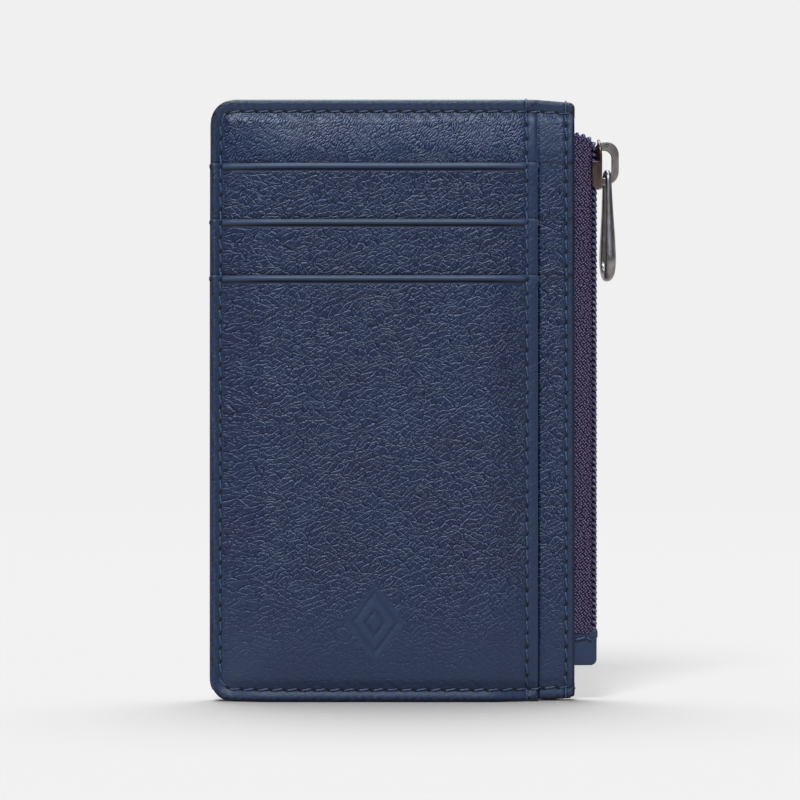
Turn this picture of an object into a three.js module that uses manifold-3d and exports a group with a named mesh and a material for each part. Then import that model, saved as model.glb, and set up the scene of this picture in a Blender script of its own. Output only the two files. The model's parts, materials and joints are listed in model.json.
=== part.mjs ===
// A slim leather card holder with a zipped pocket, standing on its bottom edge.
// Frame: millimetres, +X to the right along the front, +Y to the back, +Z up.
// Origin: middle of the bottom edge, in the plane midway between the two walls of the zipped pocket.
// The leather parts are flat sheets stacked along Y. Card slots open upwards, the zip runs down the right side.

import * as THREE from "three";
import { ConvexGeometry } from "three/addons/geometries/ConvexGeometry.js";
import { mergeVertices } from "three/addons/utils/BufferGeometryUtils.js";
import Module from "manifold-3d";

const wasm = await Module();
wasm.setup();

// ---------------------------------------------------------------- driving dimensions
const width = 75.5; // leather, left edge to right edge
const height = 125;
const cornerRadius = 4.7; // the two left corners; the right corners are square
const leather = 0.7; // outer panels
const innerLeather = 0.5; // panels that lie under another panel
const stripLeather = 0.45; // skived slot strips
const fabric = 0.12; // lining and slot bags
const filler = 0.35; // stiffener board and zip tape
const layerGap = 0.03; // air between two sheets that touch
const pulledIn = 5; // how far the seams draw in the rear panel's outer face, and how deep
const pullDepth = 0.6;
const pocketHalfGap = 2.07; // half the room inside the zipped pocket
const cardGap = 0.8; // room for one card 0.76 mm thick
const cardLength = 85.6;
const slotCount = 3;
const slotStep = 11.7; // lip to lip
const firstLipDrop = 13.3; // top edge to the first lip
const slotPanelRight = 29.85; // right edge of the card slot block
const stitchInset = 2; // outer edge to seam
const hemWidth = 3.5; // leather turned in along the edges
const footLift = 0.6; // it stands on the pocket's turned edge, and the other layers end this far above it
const threadWidth = 0.5;
const threadThickness = 0.2;

const halfWidth = width / 2;
const slotHem = 2 * stitchInset; // the seam runs down the middle of each turned slot edge
const lips = Array.from({ length: slotCount }, (_, i) => height - firstLipDrop - i * slotStep);

// ---------------------------------------------------------------- where each sheet lies, as distance from y = 0
const lining = [pocketHalfGap, pocketHalfGap + fabric];
const tape = stack(lining[1] + layerGap, filler);
const frontPanel = stack(tape[1] + layerGap, innerLeather);
const rearPanel = stack(tape[1] + layerGap, leather + 0.1);
const cardBack = stack(frontPanel[1] + layerGap, innerLeather);
const slotThickness = [stripLeather, stripLeather, leather - 0.1];
const slots = [];
let surface = cardBack[1];
for (let i = 0; i < slotCount; i += 1) {
  slots.push(stack(surface + cardGap, slotThickness[i]));
  surface = slots[i][1];
}

function stack(from, thickness) {
  return [from, from + thickness];
}

// ---------------------------------------------------------------- materials
const materials = {
  leather: new THREE.MeshStandardMaterial({ color: 0x2c3a55, roughness: 0.6, metalness: 0 }),
  lining: new THREE.MeshStandardMaterial({ color: 0x232c44, roughness: 0.9, metalness: 0 }),
  board: new THREE.MeshStandardMaterial({ color: 0x6d655a, roughness: 0.95, metalness: 0 }),
  thread: new THREE.MeshStandardMaterial({ color: 0x33456b, roughness: 0.7, metalness: 0 }),
  tape: new THREE.MeshStandardMaterial({ color: 0x3a2f4d, roughness: 0.9, metalness: 0 }),
  coil: new THREE.MeshStandardMaterial({ color: 0x2c2748, roughness: 0.45, metalness: 0 }),
  metal: new THREE.MeshStandardMaterial({ color: 0x6c6762, roughness: 0.35, metalness: 1 }),
};

const holder = new THREE.Group();

function add(name, geometry, material, parent = holder) {
  const mesh = new THREE.Mesh(geometry, material);
  mesh.name = name;
  parent.add(mesh);
  return mesh;
}

// ---------------------------------------------------------------- flat outlines in X and Z
// The holder's outline drawn in by inset: two round corners on the left, two square ones on the right.
function outline(inset = 0) {
  const radius = cornerRadius - inset;
  const left = -halfWidth + inset;
  const shape = new THREE.Shape();
  shape.moveTo(halfWidth - inset, inset);
  shape.lineTo(halfWidth - inset, height - inset);
  shape.absarc(left + radius, height - inset - radius, radius, Math.PI / 2, Math.PI, false);
  shape.absarc(left + radius, inset + radius, radius, Math.PI, 1.5 * Math.PI, false);
  return shape.getPoints(6);
}

// The part of a convex outline that lies on one side of a line: axis "x" or "y", limit, and which side to keep.
function cut(points, axis, limit, keepAbove) {
  const inside = (p) => (keepAbove ? p[axis] >= limit : p[axis] <= limit);
  return points.flatMap((p, i) => {
    const next = points[(i + 1) % points.length];
    const kept = inside(p) ? [p] : [];
    if (inside(p) !== inside(next)) {
      kept.push(p.clone().lerp(next, (limit - p[axis]) / (next[axis] - p[axis])));
    }
    return kept;
  });
}

function clipped(points, { left = -100, right = 100, bottom = -10, top = 200 }) {
  const sides = [["x", left, true], ["x", right, false], ["y", bottom, true], ["y", top, false]];
  return sides.reduce((kept, side) => cut(kept, ...side), points);
}

// An outline in X and Z made solid between two places along Y.
function sheet(points, yFront, yBack) {
  const shape = new THREE.Shape(points);
  const geometry = new THREE.ExtrudeGeometry(shape, { depth: yBack - yFront, bevelEnabled: false });
  return geometry.rotateX(Math.PI / 2).translate(0, yBack, 0);
}

const frontSheet = (points, [near, far]) => sheet(points, -far, -near);
const rearSheet = (points, [near, far]) => sheet(points, near, far);

function block(x, y, z) {
  const sizes = [x, y, z].map(([low, high]) => high - low);
  const middles = [x, y, z].map(([low, high]) => (low + high) / 2);
  return new THREE.BoxGeometry(...sizes).translate(...middles);
}

// ---------------------------------------------------------------- zipped pocket: rear wall, front wall, turned edges
// The rear panel's outer face is drawn in at the edges, where the seams pull the leather down.
function rearPanelGeometry() {
  const edge = clipped(outline(), { bottom: footLift });
  const rings = [
    [edge, rearPanel[0]],
    [edge, rearPanel[1] - pullDepth],
    [outline(pulledIn), rearPanel[1]],
  ];
  return new ConvexGeometry(rings.flatMap(([ring, y]) => ring.map((p) => new THREE.Vector3(p.x, y, p.y))));
}

const fillerRight = 31; // the stiffener ends here and the zip tape begins
const sheetInset = 0.6;
const boardPoints = clipped(outline(sheetInset), { right: fillerRight });

add("rear_panel", rearPanelGeometry(), materials.leather);
add("rear_stiffener", rearSheet(boardPoints, tape), materials.board);
add("rear_lining", rearSheet(outline(sheetInset), lining), materials.lining);
add("front_panel", frontSheet(clipped(outline(), { bottom: footLift }), frontPanel), materials.leather);
add("front_stiffener", frontSheet(boardPoints, tape), materials.board);
add("front_lining", frontSheet(outline(sheetInset), lining), materials.lining);

const hemHalf = pocketHalfGap - layerGap;
const hemSides = {
  top: { bottom: height - hemWidth },
  left: { right: -halfWidth + hemWidth, bottom: hemWidth + layerGap, top: height - hemWidth - layerGap },
  bottom: { top: hemWidth },
};
for (const [side, limits] of Object.entries(hemSides)) {
  const points = clipped(outline(), limits);
  add(`${side}_turned_edge`, sheet(points, -hemHalf, hemHalf), materials.leather);
}

// ---------------------------------------------------------------- card slots
// Each slot is a leather strip or panel with a lip, a fabric bag with a floor below a strip, and turned edges
// on three sides that give the card its room.
const cardBackPoints = clipped(outline(), { right: slotPanelRight, bottom: footLift });
add("card_back_panel", frontSheet(cardBackPoints, cardBack), materials.leather);

const stripOverlap = 2.5; // how far a strip runs on behind the next lip
const floorHeight = 2.5;
slots.forEach((level, i) => {
  const slot = i + 1;
  const last = slot === slotCount;
  const behind = i === 0 ? cardBack[1] : slots[i - 1][1];
  const hem = [behind + layerGap, level[0] - layerGap];
  const floor = last ? 0 : lips[i] - cardLength;
  const stripBottom = last ? footLift : lips[i] - slotStep - stripOverlap;

  const panelName = last ? "front_pocket_panel" : `slot_${slot}_strip`;
  const panelPoints = clipped(outline(), { right: slotPanelRight, top: lips[i], bottom: stripBottom });
  add(panelName, frontSheet(panelPoints, level), materials.leather);
  if (!last) {
    const bagPoints = clipped(outline(sheetInset), {
      right: slotPanelRight - sheetInset,
      top: stripBottom - layerGap,
    });
    add(`slot_${slot}_bag`, frontSheet(bagPoints, [level[0], level[0] + fabric]), materials.lining);
  }
  const hemInner = [-halfWidth + slotHem, slotPanelRight - slotHem];
  if (!last) {
    const floorPoints = clipped(outline(), {
      left: hemInner[0] + layerGap,
      right: hemInner[1] - layerGap,
      bottom: floor - floorHeight,
      top: floor,
    });
    add(`slot_${slot}_floor`, frontSheet(floorPoints, hem), materials.lining);
  }
  const bottomPoints = clipped(outline(), { right: slotPanelRight, bottom: footLift, top: floorHeight });
  add(`slot_${slot}_bottom_hem`, frontSheet(bottomPoints, hem), materials.leather);
  const sides = { bottom: floorHeight + layerGap, top: lips[i] };
  const leftPoints = clipped(outline(), { ...sides, right: hemInner[0] });
  add(`slot_${slot}_left_hem`, frontSheet(leftPoints, hem), materials.leather);
  const rightPoints = clipped(outline(), { ...sides, left: hemInner[1], right: slotPanelRight });
  add(`slot_${slot}_right_hem`, frontSheet(rightPoints, hem), materials.leather);
});

// ---------------------------------------------------------------- seams
const threadLift = 0.03;
const cardSeamX = slotPanelRight - stitchInset;
const zipSeamX = halfWidth - 1.65;
const leftSeamX = -halfWidth + stitchInset;
const topSeamZ = height - 2.3;
const bottomSeamZ = 2.6;

// A thread laid over a staircase of faces. steps holds [where the face ends, how far it stands from y = 0],
// along the seam from start. Each step is lower than the one before it.
function steppedThread(start, steps) {
  const under = [];
  let at = start;
  for (const [end, y] of steps) {
    under.push(new THREE.Vector2(at, -y - threadLift), new THREE.Vector2(end + threadLift, -y - threadLift));
    at = end + threadLift;
  }
  const over = under.map((p) => new THREE.Vector2(p.x + threadThickness, p.y - threadThickness));
  over[0].x = start;
  over[over.length - 1].x = under[under.length - 1].x;
  return new THREE.Shape([...under, ...over.reverse()]);
}

const extrudeThread = (shape) => {
  const geometry = new THREE.ExtrudeGeometry(shape, { depth: threadWidth, bevelEnabled: false });
  return geometry.translate(0, 0, -threadWidth / 2);
};

// A vertical thread down the slot block: the drawn X axis becomes Z, the extrusion becomes X.
function verticalThread(x) {
  const faces = [...lips].reverse().map((lip, i) => [lip, slots[slotCount - 1 - i][1]]);
  const shape = steppedThread(bottomSeamZ + threadWidth, [...faces, [topSeamZ - threadWidth, cardBack[1]]]);
  const turn = new THREE.Matrix4().makeBasis(
    new THREE.Vector3(0, 0, 1),
    new THREE.Vector3(0, 1, 0),
    new THREE.Vector3(-1, 0, 0),
  );
  return extrudeThread(shape).applyMatrix4(turn).translate(x, 0, 0);
}

// A horizontal thread across the slot block and the strip beside it: the extrusion becomes Z.
function horizontalThread(z, slotFace) {
  const shape = steppedThread(leftSeamX, [[slotPanelRight, slotFace], [halfWidth - 0.5, frontPanel[1]]]);
  const turn = new THREE.Matrix4().makeBasis(
    new THREE.Vector3(1, 0, 0),
    new THREE.Vector3(0, 1, 0),
    new THREE.Vector3(0, 0, 1),
  );
  return extrudeThread(shape).applyMatrix4(turn).translate(0, 0, z);
}

add("front_left_thread", verticalThread(leftSeamX), materials.thread);
add("card_seam_thread", verticalThread(cardSeamX), materials.thread);
add("front_top_thread", horizontalThread(topSeamZ, cardBack[1]), materials.thread);
add("front_bottom_thread", horizontalThread(bottomSeamZ, slots[slotCount - 1][1]), materials.thread);

const across = (x) => [x - threadWidth / 2, x + threadWidth / 2];
const seamEnds = [bottomSeamZ + threadWidth + threadLift, topSeamZ - threadWidth - threadLift];
const frontThreadY = [-frontPanel[1] - threadLift - threadThickness, -frontPanel[1] - threadLift];
const rearThreadY = [rearPanel[1] - 0.22, rearPanel[1] - 0.02];
add("front_zip_thread", block(across(zipSeamX), frontThreadY, seamEnds), materials.thread);
add("rear_zip_thread", block(across(zipSeamX), rearThreadY, seamEnds), materials.thread);
add("rear_left_thread", block(across(leftSeamX), rearThreadY, seamEnds), materials.thread);
const rearSpan = [leftSeamX, zipSeamX + threadWidth / 2];
add("rear_top_thread", block(rearSpan, rearThreadY, across(topSeamZ)), materials.thread);
add("rear_bottom_thread", block(rearSpan, rearThreadY, across(bottomSeamZ)), materials.thread);

// ---------------------------------------------------------------- zip: tapes, coils, ends
const zipBottom = 14.4;
const zipTop = 116.3;
const tapeEdge = 41.2; // where the free tape ends under the coil
const coilX = [41.25, 42.55];
const coilOuter = 2.42;
const coilSpread = 0.7; // how far the two coils part above the slider's mouth
const spreadFrom = 112;
const spreadTo = 113;
const seamGap = 0.2;

const marginPoints = clipped(outline(sheetInset), { left: fillerRight + 0.1 });
add("front_tape_margin", frontSheet(marginPoints, tape), materials.tape);
add("rear_tape_margin", rearSheet(marginPoints, tape), materials.tape);

// One row of coil elements, drawn in Y and Z for the front side and extruded along X. side is -1 for the front.
function coilGeometry(side) {
  const inner = 0.05;
  const points = [
    [inner, zipBottom],
    [coilOuter, zipBottom],
    [coilOuter, spreadFrom],
    [coilOuter + coilSpread, spreadTo],
    [coilOuter + coilSpread, zipTop],
    [inner + coilSpread, zipTop],
    [inner + coilSpread, spreadTo],
    [inner, spreadFrom],
  ].map(([y, z]) => new THREE.Vector2(side * y, z));
  const turn = new THREE.Matrix4().makeBasis(
    new THREE.Vector3(0, 1, 0),
    new THREE.Vector3(0, 0, 1),
    new THREE.Vector3(1, 0, 0),
  );
  const depth = coilX[1] - coilX[0];
  const geometry = new THREE.ExtrudeGeometry(new THREE.Shape(points), { depth, bevelEnabled: false });
  return geometry.applyMatrix4(turn).translate(coilX[0], 0, 0);
}

for (const [name, side] of [["front", -1], ["rear", 1]]) {
  const y = tape.map((d) => side * d).sort((a, b) => a - b);
  add(`${name}_zip_tape`, block([halfWidth + seamGap, tapeEdge], y, [zipBottom, zipTop]), materials.tape);
  add(`${name}_coil`, coilGeometry(side), materials.coil);
  // Above the coil the end of the tape folds back into the pocket.
  const endY = [side * hemHalf, side * 0.75].sort((a, b) => a - b);
  const endX = [33, tapeEdge + 0.5];
  add(`${name}_zip_end`, sheetXZ(endX, [zipTop + 0.1, 118.4], endY, 1.6), materials.tape);
}

// A block whose upper right edge is rounded off.
function sheetXZ([left, right], [bottom, top], [yFront, yBack], round) {
  const shape = new THREE.Shape();
  shape.moveTo(left, bottom);
  shape.lineTo(right, bottom);
  shape.absarc(right - round, top - round, round, 0, Math.PI / 2, false);
  shape.lineTo(left, top);
  return sheet(shape.getPoints(4), yFront, yBack);
}

// ---------------------------------------------------------------- leather tab that wraps the lower end of the zip
const tabRight = 42.5;
const tabZ = [7.8, 14.25];
const tabHalf = 1.95;
const tabRound = 1.7;
function tabGeometry() {
  const shape = new THREE.Shape();
  shape.moveTo(33, hemWidth + 0.1);
  shape.lineTo(halfWidth - 0.4, hemWidth + 0.1);
  shape.lineTo(halfWidth - 0.4, tabZ[0]);
  shape.absarc(tabRight - tabRound, tabZ[0] + tabRound, tabRound, -Math.PI / 2, 0, false);
  shape.lineTo(tabRight, tabZ[1]);
  shape.lineTo(33, tabZ[1]);
  return sheet(shape.getPoints(5), -tabHalf, tabHalf);
}
add("zip_end_tab", tabGeometry(), materials.leather);
const tabThreadY = [-tabHalf - threadLift - threadThickness, -tabHalf - threadLift];
const tabThreadX = [halfWidth + 0.3, tabRight - 0.3];
add("tab_thread", block(tabThreadX, tabThreadY, across(tabZ[1] - 1.3)), materials.thread);

// ---------------------------------------------------------------- slider
const sliderZ = [106.6, 116.5];
const plateX = [43.05, 43.6];
const plateHalf = 3.1;
const flangeInner = 2.55;
const flangeTop = 111.9;

function solid(geometry) {
  const plain = geometry.index ? geometry.toNonIndexed() : geometry.clone();
  plain.deleteAttribute("normal");
  plain.deleteAttribute("uv");
  const merged = mergeVertices(plain, 1e-4);
  return new wasm.Manifold(
    new wasm.Mesh({
      numProp: 3,
      vertProperties: merged.attributes.position.array,
      triVerts: new Uint32Array(merged.index.array),
    }),
  );
}

function joined(geometries) {
  const mesh = geometries.map(solid).reduce((sum, next) => sum.add(next)).getMesh();
  const geometry = new THREE.BufferGeometry();
  geometry.setAttribute("position", new THREE.BufferAttribute(mesh.vertProperties, 3));
  geometry.setIndex(new THREE.BufferAttribute(mesh.triVerts, 1));
  return geometry;
}

// A shape drawn in Y and Z, solid between two places along X.
function plateYZ(shape, [xLow, xHigh]) {
  const turn = new THREE.Matrix4().makeBasis(
    new THREE.Vector3(0, 1, 0),
    new THREE.Vector3(0, 0, 1),
    new THREE.Vector3(1, 0, 0),
  );
  const geometry = new THREE.ExtrudeGeometry(shape, { depth: xHigh - xLow, bevelEnabled: false, curveSegments: 8 });
  return geometry.applyMatrix4(turn).translate(xLow, 0, 0);
}

// Outer plate: straight sides at the narrow lower end, a round shield at the upper end.
function shieldShape(half, [bottom, top]) {
  const shape = new THREE.Shape();
  shape.moveTo(-half * 0.88, bottom);
  shape.lineTo(half * 0.88, bottom);
  shape.lineTo(half, bottom + 2);
  shape.lineTo(half, top - half);
  shape.quadraticCurveTo(half, top, 0, top);
  shape.quadraticCurveTo(-half, top, -half, top - half);
  shape.lineTo(-half, bottom + 2);
  return shape;
}

function sliderGeometry() {
  const flangeX = [41.5, plateX[0] + 0.1];
  const pieces = [
    plateYZ(shieldShape(plateHalf, sliderZ), plateX),
    plateYZ(shieldShape(1.75, [sliderZ[0] + 0.3, sliderZ[1] - 0.6]), [40.35, 40.85]),
    block([40.6, plateX[0] + 0.2], [-0.55, 0.55], [113.2, 115.6]),
  ];
  for (const side of [-1, 1]) {
    const y = [side * flangeInner, side * plateHalf].sort((a, b) => a - b);
    pieces.push(block(flangeX, y, [sliderZ[0] + 0.05, flangeTop]));
  }
  return joined(pieces);
}

// Bail: a C-shaped strap over the outer plate, drawn in X and Z. The pull hangs in its hole.
const bailHalf = 0.6;
const bailX = [plateX[1] + 0.05, 45.65, 46.85]; // feet, inner face and outer face of the strap
function bailGeometry() {
  const shape = new THREE.Shape();
  shape.moveTo(bailX[0], 107.2);
  shape.lineTo(45, 107.2);
  shape.quadraticCurveTo(bailX[2], 107.4, bailX[2], 110);
  shape.lineTo(bailX[2], 112);
  shape.quadraticCurveTo(bailX[2], 115.8, bailX[0] + 0.6, 116);
  shape.lineTo(bailX[0], 116);
  shape.lineTo(bailX[0], 114.1);
  shape.quadraticCurveTo(bailX[1], 113.9, bailX[1], 111.6);
  shape.lineTo(bailX[1], 109.8);
  shape.quadraticCurveTo(bailX[1], 108.9, 45, 108.9);
  shape.lineTo(bailX[0], 108.9);
  return sheet(shape.getPoints(5), -bailHalf, bailHalf);
}

const slider = new THREE.Group();
holder.add(slider);
add("slider_body", sliderGeometry(), materials.metal, slider);
add("slider_bail", bailGeometry(), materials.metal, slider);

// ---------------------------------------------------------------- pull: a drop-shaped loop hanging in the bail
const pivot = new THREE.Vector3(44.75, 0, 110.05);
const pullThickness = 1.3;
const pullBevel = 0.25;
const pullTwist = THREE.MathUtils.degToRad(12);
const eyeDrop = 1.55; // pivot down to the middle of the small round end
const loopLength = 16.7; // middle of the small round end to the middle of the large one

// The outline around two circles of different radius, one straight below the other.
function dropPoints(smallRadius, largeRadius) {
  const lean = Math.asin((largeRadius - smallRadius) / loopLength);
  const path = new THREE.Path();
  path.absarc(0, -eyeDrop, smallRadius, lean, Math.PI - lean, false);
  path.absarc(0, -eyeDrop - loopLength, largeRadius, Math.PI - lean, 2 * Math.PI + lean, false);
  return path.getPoints(10);
}

function pullGeometry() {
  const shape = new THREE.Shape(dropPoints(2.1 - pullBevel, 4.5 - pullBevel));
  shape.holes.push(new THREE.Path(dropPoints(1 + pullBevel, 2.7 + pullBevel)));
  const turn = new THREE.Matrix4().makeBasis(
    new THREE.Vector3(0, 1, 0),
    new THREE.Vector3(0, 0, 1),
    new THREE.Vector3(1, 0, 0),
  );
  const geometry = new THREE.ExtrudeGeometry(shape, {
    depth: pullThickness - 2 * pullBevel,
    bevelThickness: pullBevel,
    bevelSize: pullBevel,
    bevelSegments: 1,
  });
  return geometry.applyMatrix4(turn).translate(-pullThickness / 2 + pullBevel, 0, 0);
}

const pull = add("pull_loop", pullGeometry(), materials.metal, slider);
pull.position.copy(pivot);
pull.rotation.z = pullTwist;

export default holder;
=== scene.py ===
"""A slim leather card holder with a zipped pocket: grained leather, lockstitch seams and a coil zip.

Shapes are worked out in millimetres in the part's own frame and turned into metres when a mesh is made.
Outward on the front is -Y, so a front height h stands at y = -h.
"""

import json
import math

import bpy
import numpy as np
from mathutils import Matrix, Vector


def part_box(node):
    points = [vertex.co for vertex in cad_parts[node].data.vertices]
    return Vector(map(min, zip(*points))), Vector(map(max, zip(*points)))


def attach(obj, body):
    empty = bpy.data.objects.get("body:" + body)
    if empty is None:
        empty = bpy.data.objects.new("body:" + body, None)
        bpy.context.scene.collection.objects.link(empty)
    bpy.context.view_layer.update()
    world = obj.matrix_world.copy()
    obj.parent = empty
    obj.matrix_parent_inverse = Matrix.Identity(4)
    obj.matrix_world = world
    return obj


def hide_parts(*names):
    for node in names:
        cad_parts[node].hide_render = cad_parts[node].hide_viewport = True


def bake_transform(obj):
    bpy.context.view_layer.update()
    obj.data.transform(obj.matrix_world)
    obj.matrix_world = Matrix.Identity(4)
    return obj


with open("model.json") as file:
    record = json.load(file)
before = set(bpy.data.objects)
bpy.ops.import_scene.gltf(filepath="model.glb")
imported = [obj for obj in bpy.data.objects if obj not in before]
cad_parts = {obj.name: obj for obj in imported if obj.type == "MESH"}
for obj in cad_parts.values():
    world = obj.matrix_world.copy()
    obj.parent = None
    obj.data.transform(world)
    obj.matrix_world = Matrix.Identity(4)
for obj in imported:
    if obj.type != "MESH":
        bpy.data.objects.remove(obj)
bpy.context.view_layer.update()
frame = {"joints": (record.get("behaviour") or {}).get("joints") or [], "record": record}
MM = 0.001
rng = np.random.default_rng(11)


def box_mm(node):
    """Lowest and highest corners of a CAD node, in millimetres."""
    low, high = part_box(node)
    return np.array(low) / MM, np.array(high) / MM


def middle_mm(node, axis):
    return float(np.mean([corner[axis] for corner in box_mm(node)]))


# ------------------------------------------------------------------ dimensions taken from the frame
PANEL_LOW, PANEL_HIGH = box_mm("front_panel")
LEFT, RIGHT, TOP = PANEL_LOW[0], PANEL_HIGH[0], PANEL_HIGH[2]
BOTTOM, FRONT_LIFT = 0.02, 0.38  # where sheets end below: the hidden and rear ones, and the front ones
CORNER = 4.7  # radius of the two left corners
BLOCK_RIGHT = box_mm("front_pocket_panel")[1][0]
WALL_FRONT = -PANEL_LOW[1]
BLOCK_BACK = WALL_FRONT + 0.03  # the slots' block starts here
LIPS = [box_mm(f"slot_{i}_strip")[1][2] for i in (1, 2)] + [box_mm("front_pocket_panel")[1][2]]
# the faces of the slots' block from the top one down, and how far forward each stands
FRONTS = ("card_back_panel", "slot_1_strip", "slot_2_strip", "front_pocket_panel")
LEVELS = [-box_mm(node)[0][1] for node in FRONTS]
REAR_LEVEL = box_mm("rear_panel")[1][1]
UPRIGHT_SEAMS, LEVEL_SEAMS = ("rear_left", "card_seam", "front_zip"), ("front_top", "front_bottom")
SEAM_LEFT, SEAM_CARD, SEAM_ZIP = [middle_mm(f"{seam}_thread", 0) for seam in UPRIGHT_SEAMS]
SEAM_TOP, SEAM_BOTTOM = [middle_mm(f"{seam}_thread", 2) for seam in LEVEL_SEAMS]
SEAM_CORNER = 2.7  # radius of the seam in the left corners
ZIP_BOTTOM, ZIP_TOP = box_mm("front_zip_tape")[0][2], box_mm("front_zip_tape")[1][2]
STITCH_PITCH = (SEAM_TOP - SEAM_BOTTOM) / 41  # 41 stitches up each side
BACK_STEP = 4  # a sheet's hidden side has one face where its front has this many squared


# ------------------------------------------------------------------ small number helpers
def smooth(value, low, high):
    t = np.clip((value - low) / (high - low), 0.0, 1.0)
    return t * t * (3.0 - 2.0 * t)


def bell(distance, width):
    return np.exp(-((distance / width) ** 2))


def hash01(i, j, k):
    """A repeatable number from 0 to 1 for each whole-number pair."""
    n = (i.astype(np.int64) * 374761393 + j.astype(np.int64) * 668265263 + k * 974634777) & 0xFFFFFFFF
    n = ((n ^ (n >> 13)) * 1274126177) & 0xFFFFFFFF
    return ((n ^ (n >> 16)) & 0xFFFF) / 65535.0


def pebbles(x, z, cell, stretch, slant, seed):
    """Pebbled grain: 0 in the creases between the cells, up to 1 on top of each cell."""
    c, s = math.cos(slant), math.sin(slant)
    u, v = (x * c + z * s) / (cell * stretch), (-x * s + z * c) / cell
    ui, vi = np.floor(u), np.floor(v)
    nearest = np.full(x.shape, 9.0)
    second = np.full(x.shape, 9.0)
    for du in (-1, 0, 1):
        for dv in (-1, 0, 1):
            i, j = ui + du, vi + dv
            d = np.hypot(i + hash01(i, j, seed) - u, j + hash01(i, j, seed + 1) - v)
            second = np.minimum(second, np.maximum(d, nearest))
            nearest = np.minimum(nearest, d)
    return smooth(second - nearest, 0.0, 0.45) * (1.0 - 0.35 * nearest)


def waves(x, z, scale, seed):
    """Slow undulation from a few crossed waves, about -1 to 1."""
    local = np.random.default_rng(seed)
    total = np.zeros_like(x)
    for _ in range(5):
        angle, phase, size = local.uniform(0, math.pi), local.uniform(0, 6.28), local.uniform(0.7, 1.6)
        total += np.sin((x * math.cos(angle) + z * math.sin(angle)) / (scale * size) * 6.28 + phase)
    return total / 3.0


def lines(low, high, step, fine=()):
    """Grid lines from low to high, closer together near each (centre, half width, step) in fine."""
    marks = [low]
    while marks[-1] < high - 1e-6:
        here = marks[-1]
        wanted = min([step] + [s + max(0.0, abs(here - c) - w) * 0.35 for c, w, s in fine])
        marks.append(here + wanted)
    if len(marks) > 2 and high - marks[-2] < 0.4 * (marks[-2] - marks[-3]):
        marks.pop()
    marks[-1] = high
    while (len(marks) - 1) % BACK_STEP:
        gaps = np.diff(marks)
        k = int(np.argmax(gaps))
        marks.insert(k + 1, (marks[k] + marks[k + 1]) / 2)
    return np.array(marks)


# ------------------------------------------------------------------ outline and pinched edges
def corner_shift(z, inset=0.0):
    """How far the rounded left corners push the left edge in at height z."""
    radius = CORNER - inset
    d = np.minimum(z - inset, TOP - inset - z)
    return radius - np.sqrt(np.maximum(radius**2 - np.maximum(radius - d, 0.0) ** 2, 0.0))


def inside_distance(x, z, left=LEFT, right=RIGHT, bottom=0.0, top=TOP, radius=CORNER):
    """Distance in from a box whose two left corners are rounded."""
    dl, dr, db, dt = x - left, right - x, z - bottom, top - z
    d = np.minimum(np.minimum(dl, dr), np.minimum(db, dt))
    end = np.minimum(db, dt)
    in_corner = (dl < radius) & (end < radius)
    return np.where(in_corner, radius - np.hypot(radius - dl, radius - end), d)


def border_relief(x, z):
    """The round bead along the sewn outline, the seam's groove, and the rise to the panel."""
    seam = inside_distance(x, z, SEAM_LEFT, RIGHT + 60.0, SEAM_BOTTOM, SEAM_TOP, SEAM_CORNER)
    outer = np.maximum(inside_distance(x, z, right=RIGHT + 60.0), 0.0)
    across = np.clip(outer / np.maximum(outer - seam, 0.05), 0.0, 1.0)
    fall = np.clip((0.26 - across) / 0.29, 0.0, 1.0)
    bead = 0.64 * np.sqrt(1.0 - fall**2) - 0.64 - 0.66 * smooth(across, 0.34, 1.08)
    pucker = 0.22 * np.cos((x + z) * 2.0 * math.pi / STITCH_PITCH)
    rise = -0.65 * (1.0 - smooth(seam, -0.2, 2.3 + pucker))
    return np.where(seam < 0.0, bead, rise)


def ease_right_corners(x, z):
    """The zip side is cut a little lower at the top, and both its corners are slightly round."""
    radius = 1.1
    across = np.clip((x - (RIGHT - radius)) / radius, 0.0, None)
    for level, sign in ((TOP, 1.0), (0.0, -1.0)):
        along = np.clip(sign * (z - (level - sign * radius)) / radius, 0.0, None)
        length = np.hypot(across, along)
        both = (across > 0.0) & (along > 0.0)
        scale = np.where(both, np.maximum(across, along) / np.maximum(length, 1e-6), 1.0)
        x = np.where(both, RIGHT - radius + across * scale * radius, x)
        z = np.where(both, level + sign * radius * (along * scale - 1.0), z)
    side = smooth(x, 28.5, 37.0)
    return x, z - 0.5 * side * smooth(z, 117.0, TOP) + 0.4 * side * smooth(7.0 - z, 0.0, 7.0)


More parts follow.
